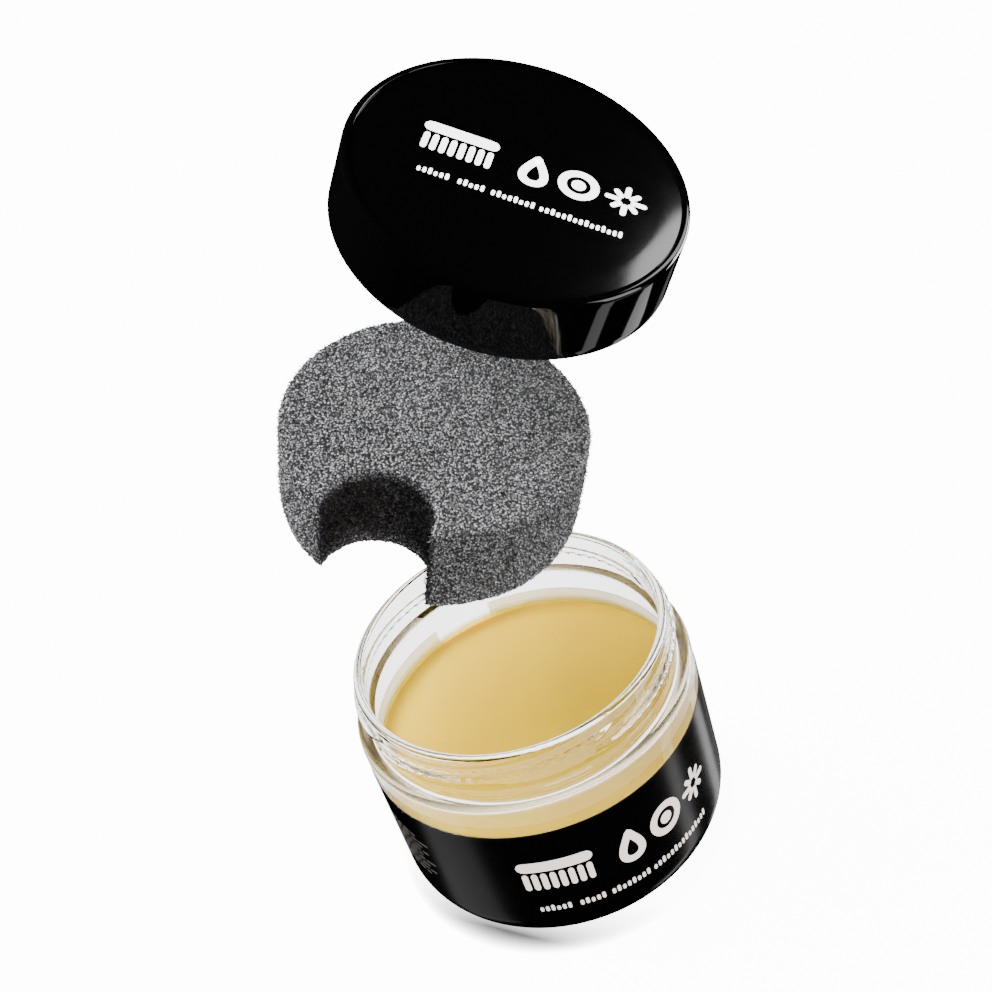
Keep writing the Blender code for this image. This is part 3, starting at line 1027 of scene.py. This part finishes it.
def strut_tree(material):
    """Geometry nodes: short three-sided spikes that stand out of the foam at every angle."""
    tree = bpy.data.node_groups.new("loose_struts", "GeometryNodeTree")
    sockets = (("Geometry", "NodeSocketGeometry", None), ("Density", "NodeSocketFloat", 1e6),
               ("Length", "NodeSocketFloat", 0.5 * MM),
               ("Thickness", "NodeSocketFloat", STRUT_THICKNESS), ("Seed", "NodeSocketInt", 1))
    for label, kind, value in sockets:
        socket = tree.interface.new_socket(label, in_out="INPUT", socket_type=kind)
        if value is not None:
            socket.default_value = value
    tree.interface.new_socket("Geometry", in_out="OUTPUT", socket_type="NodeSocketGeometry")
    given = tree.nodes.new("NodeGroupInput")
    out = tree.nodes.new("NodeGroupOutput")
    scatter = add(tree, "GeometryNodeDistributePointsOnFaces", distribute_method="RANDOM")
    strut = add(tree, "GeometryNodeMeshCone", {"Vertices": 3, "Radius Top": 0.0},
                fill_type="NGON")
    turn = add(tree, "FunctionNodeRandomValue", {0: (0, 0, 0), 1: (pi, pi, tau)},
               data_type="FLOAT_VECTOR")
    size = add(tree, "FunctionNodeRandomValue", {2: 0.5, 3: 1.3}, data_type="FLOAT")
    copies = tree.nodes.new("GeometryNodeInstanceOnPoints")
    real = tree.nodes.new("GeometryNodeRealizeInstances")
    finish = add(tree, "GeometryNodeSetMaterial", {"Material": material})
    link = linker(tree)
    link(given, "Geometry", scatter, "Mesh")
    link(given, "Density", scatter, "Density")
    link(given, "Seed", scatter, "Seed")
    link(given, "Length", strut, "Depth")
    link(given, "Thickness", strut, "Radius Bottom")
    link(given, "Seed", turn, "Seed")
    link(scatter, "Points", copies, "Points")
    link(strut, "Mesh", copies, "Instance")
    link(turn, 0, copies, "Rotation")
    link(size, 1, copies, "Scale")
    link(copies, "Instances", real, "Geometry")
    link(real, "Geometry", finish, "Geometry")
    link(finish, "Geometry", out, "Geometry")
    return tree


def strut_ground(foam):
    """A copy of the foam's mesh without the underside, which rests on the wax when stowed."""
    bm = bmesh.new()
    bm.from_mesh(foam)
    resting = -SPONGE_THICKNESS + STRUT_FREE_FOOT
    under = [face for face in bm.faces if face.calc_center_median().z < resting]
    bmesh.ops.delete(bm, geom=under, context="FACES")
    return mesh_from(bm, "strut_ground")


def loose_struts(item, looks, material):
    """Run the strut nodes over the foam's sides and top, and keep the result as a mesh."""
    host = linked("strut_host", strut_ground(item.data))
    tree = strut_tree(material)
    scatter = host.modifiers.new("struts", "NODES")
    scatter.node_group = tree
    values = {"Density": looks.strut_density, "Length": looks.strut_length,
              "Thickness": STRUT_THICKNESS, "Seed": looks.strut_seed}
    for socket in tree.interface.items_tree:
        if socket.in_out == "INPUT" and socket.name in values:
            scatter[socket.identifier] = values[socket.name]
    made = evaluated_copy(host, "foam_struts")
    bpy.data.objects.remove(host, do_unlink=True)
    return made


def make_sponge(looks):
    foam = sponge_body(looks.foam_voxel)
    open_cells(foam, looks.foam_cell)
    paint_notch_shade(foam)
    finish = sponge_foam(looks)
    struts = loose_struts(foam, looks, finish)
    give(foam, finish)
    for item in (foam, struts):
        set_in_place(item, sponge_place())
        item.data.shade_smooth()
        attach(item, "sponge")
    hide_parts("sponge")


# ---------------------------------------------------------------- stage

CAMERA_PLACE = Vector((6.9, -222.7, 249.4)) * MM
CAMERA_PITCH = radians(90 - 36.38)
CAMERA_ROLL = radians(-18.64)
CAMERA_LENS = 54.44
CAMERA_SENSOR = 36.0
FLOOR_RADIUS = 4.0
FLOOR_DROP = 0.2 * MM
BACKDROP_SEEN = 13.0
BACKDROP_THROUGH = 3.4
# Painted contact shadow on the floor: how far it reaches, how steeply it deepens, and the side of
# the jar where it is full.
CONTACT_SHADOW_REACH = 5 * MM
CONTACT_SHADOW_POWER = 6.0
CONTACT_SHADOW_TOWARDS = (-0.6, -0.8, 0.0)
CONTACT_SHADOW_FROM, CONTACT_SHADOW_FULL = 18 * MM, 33 * MM
LIGHT_TARGET = (0.01, 0.01, 0.06)
WHITE = (1, 1, 1)


def backdrop_level(tree, bounced):
    """The white backdrop's strength by kind of ray; bounced light gets its own."""
    levels = {"Is Camera Ray": BACKDROP_SEEN, "Is Transmission Ray": BACKDROP_THROUGH,
              "Is Diffuse Ray": bounced}
    path = tree.nodes.new("ShaderNodeLightPath")
    total = None
    for kind, level in levels.items():
        part = add(tree, "ShaderNodeMath", {1: level}, operation="MULTIPLY")
        tree.links.new(path.outputs[kind], part.inputs[0])
        if total is None:
            total = part.outputs["Value"]
            continue
        summed = add(tree, "ShaderNodeMath", operation="ADD")
        tree.links.new(total, summed.inputs[0])
        tree.links.new(part.outputs["Value"], summed.inputs[1])
        total = summed.outputs["Value"]
    return total


def stage_floor():
    """A wide pale floor that is white to the camera, with a painted contact shadow around the
    jar's foot, full on one side and faint on the others.
    """
    bm = bmesh.new()
    bmesh.ops.create_circle(bm, cap_ends=True, segments=96, radius=FLOOR_RADIUS)
    ground = linked("floor", mesh_from(bm, "floor"))
    ground.location.z = -FLOOR_DROP
    made, tree, shader = new_material("pale_floor", (0.25, 0.25, 0.25), 0.9)
    shader.inputs["Specular IOR Level"].default_value = 0.0
    # Painted contact shadow: ambient occlusion dims the floor's glow near the jar, full only
    # towards one side.
    near = add(tree, "ShaderNodeAmbientOcclusion", {"Distance": CONTACT_SHADOW_REACH}, samples=16)
    shadow_falloff = add(tree, "ShaderNodeMath", {1: CONTACT_SHADOW_POWER}, operation="POWER")
    place = tree.nodes.new("ShaderNodeTexCoord")
    towards = add(tree, "ShaderNodeVectorMath", {1: CONTACT_SHADOW_TOWARDS}, operation="DOT_PRODUCT")
    side = add(tree, "ShaderNodeMapRange", {
        "From Min": CONTACT_SHADOW_FROM, "From Max": CONTACT_SHADOW_FULL, "To Min": 0.1, "To Max": 1.0})
    contact = add(tree, "ShaderNodeMix", {2: 1.0}, data_type="FLOAT")
    strength = add(tree, "ShaderNodeMath", operation="MULTIPLY")
    level = backdrop_level(tree, 0.25)
    link = linker(tree)
    link(near, "AO", shadow_falloff, 0)
    link(shadow_falloff, "Value", contact, 3)
    link(place, "Object", towards, 0)
    link(towards, "Value", side, "Value")
    link(side, "Result", contact, "Factor")
    tree.links.new(level, strength.inputs[0])
    link(contact, 0, strength, 1)
    link(strength, "Value", shader, "Emission Strength")
    shader.inputs["Emission Color"].default_value = (*WHITE, 1)
    give(ground, made)
    ground.visible_glossy = False


def stage_world():
    """White all round for the camera, and dimmer for what the light bounces off."""
    world = bpy.data.worlds.new("studio")
    bpy.context.scene.world = world
    world.use_nodes = True
    tree = world.node_tree
    back = tree.nodes["Background"]
    back.inputs["Color"].default_value = (*WHITE, 1)
    level = backdrop_level(tree, 0.15)
    tree.links.new(level, back.inputs["Strength"])


def aim(item, place, target, axis):
    """Set a lamp or card down with its axis pointing at the target."""
    item.location = place
    item.rotation_euler = (Vector(target) - Vector(place)).to_track_quat(axis, "Y").to_euler()


def soft_box(name, place, width, height, power, mirrored=True):
    """A rectangular lamp that faces the middle of the pieces."""
    light = bpy.data.lights.new(name, "AREA")
    light.shape = "RECTANGLE"
    light.size = width
    light.size_y = height
    light.energy = power
    lamp = linked(name, light)
    aim(lamp, place, LIGHT_TARGET, "-Z")
    lamp.visible_camera = False
    lamp.visible_glossy = mirrored


def reflection_card(name, place, target, width, height, strength):
    """A white card that only reflections see."""
    bm = bmesh.new()
    bmesh.ops.create_grid(bm, x_segments=1, y_segments=1, size=0.5)
    card = linked(name, mesh_from(bm, name))
    aim(card, place, target, "Z")
    card.scale = (width, height, 1)
    made, _, shader = new_material(name, (0, 0, 0), 1.0)
    set_glow(shader, WHITE, strength)
    give(card, made)
    for kind in ("camera", "diffuse", "transmission", "volume_scatter", "shadow"):
        setattr(card, f"visible_{kind}", False)


def make_stage():
    """The floor, the backdrop, the lamps and their reflections, and the camera."""
    stage_floor()
    stage_world()
    soft_box("key_box", (-0.45, 0.42, 0.62), 0.5, 0.5, 32.0, mirrored=False)
    soft_box("right_box", (0.62, -0.32, 0.04), 0.3, 0.5, 4.0)
    soft_box("front_box", (0.1, -0.6, 0.62), 0.4, 0.4, 4.5, mirrored=False)
    reflection_card("top_card", (0.492, 0.185, 0.35), (0.056, 0.03, 0.11), 0.18, 0.24, 9.0)
    reflection_card("shoulder_card", (0.48, 0.175, -0.02), (0.03, 0.0, 0.04), 0.2, 0.25, 25.0)
    reflection_card("label_card", (0.345, -0.06, -0.36), (0.022, -0.027, 0.02), 0.07, 0.5, 1.3)
    reflection_card("edge_card", (0.13, 0.33, -0.34), (0.033, -0.01, 0.025), 0.2, 0.3, 0.2)
    reflection_card("sheen_card", (-0.38, -0.02, -0.36), (-0.02, -0.03, 0.02), 0.25, 0.3, 0.35)
    reflection_card("skirt_card", (0.25, 0.18, -0.34), (0.05, 0.025, 0.11), 0.08, 0.12, 1.6)

    camera = bpy.data.cameras.new("main_camera")
    camera.lens = CAMERA_LENS
    camera.sensor_width = CAMERA_SENSOR
    camera.clip_start = 0.01
    eye = linked("main_camera", camera)
    pitch = Matrix.Rotation(CAMERA_PITCH, 4, "X")
    roll = Matrix.Rotation(CAMERA_ROLL, 4, "Z")
    eye.matrix_world = Matrix.Translation(CAMERA_PLACE) @ pitch @ roll
    bpy.context.scene.camera = eye


# ---------------------------------------------------------------- add-on

class WAXJAR_OT_stage(bpy.types.Operator):
    """Lay the floor and set the soft lights and the camera"""
    bl_idname = "waxjar.stage"
    bl_label = "Stage"

    def execute(self, context):
        make_stage()
        return {"FINISHED"}


class WAXJAR_OT_pot(bpy.types.Operator):
    """Make the clear pot with its threaded neck"""
    bl_idname = "waxjar.pot"
    bl_label = "Pot"

    def execute(self, context):
        make_pot()
        return {"FINISHED"}


class WAXJAR_OT_wax(bpy.types.Operator):
    """Pour the wax fill"""
    bl_idname = "waxjar.wax"
    bl_label = "Wax"

    def execute(self, context):
        make_wax(context.scene.wax_jar_looks)
        return {"FINISHED"}


class WAXJAR_OT_label(bpy.types.Operator):
    """Wrap and print the jar's label"""
    bl_idname = "waxjar.label"
    bl_label = "Label"

    def execute(self, context):
        make_label(context.scene.wax_jar_looks)
        return {"FINISHED"}


class WAXJAR_OT_lid(bpy.types.Operator):
    """Make the lid and its printed disc"""
    bl_idname = "waxjar.lid"
    bl_label = "Lid"

    def execute(self, context):
        make_lid(context.scene.wax_jar_looks)
        return {"FINISHED"}


class WAXJAR_OT_seal(bpy.types.Operator):
    """Make the liner and the loose sealing disc"""
    bl_idname = "waxjar.seal"
    bl_label = "Liner and seal"

    def execute(self, context):
        make_seal()
        return {"FINISHED"}


class WAXJAR_OT_sponge(bpy.types.Operator):
    """Make the foam sponge with its loose struts"""
    bl_idname = "waxjar.sponge"
    bl_label = "Sponge"

    def execute(self, context):
        make_sponge(context.scene.wax_jar_looks)
        return {"FINISHED"}


class WAXJAR_PT_looks(bpy.types.Panel):
    """The jar's pieces, and the looks that they are made with"""
    bl_label = "Wax jar"
    bl_space_type = "VIEW_3D"
    bl_region_type = "UI"
    bl_category = "Wax jar"

    def draw(self, context):
        looks = context.scene.wax_jar_looks
        for name in looks.bl_rna.properties.keys():
            if name not in ("rna_type", "name"):
                self.layout.prop(looks, name)
        for operator in OPERATORS:
            self.layout.operator(operator.bl_idname)


OPERATORS = (WAXJAR_OT_stage, WAXJAR_OT_pot, WAXJAR_OT_wax, WAXJAR_OT_label,
             WAXJAR_OT_lid, WAXJAR_OT_seal, WAXJAR_OT_sponge)
CLASSES = (WaxJarLooks, *OPERATORS, WAXJAR_PT_looks)


def register():
    for item in CLASSES:
        bpy.utils.register_class(item)
    bpy.types.Scene.wax_jar_looks = PointerProperty(type=WaxJarLooks)


def unregister():
    del bpy.types.Scene.wax_jar_looks
    for item in reversed(CLASSES):
        bpy.utils.unregister_class(item)


def main():
    register()
    bpy.ops.waxjar.stage()
    bpy.ops.waxjar.pot()
    bpy.ops.waxjar.wax()
    bpy.ops.waxjar.label()
    bpy.ops.waxjar.lid()
    bpy.ops.waxjar.seal()
    bpy.ops.waxjar.sponge()


if __name__ == "__main__":
    main()
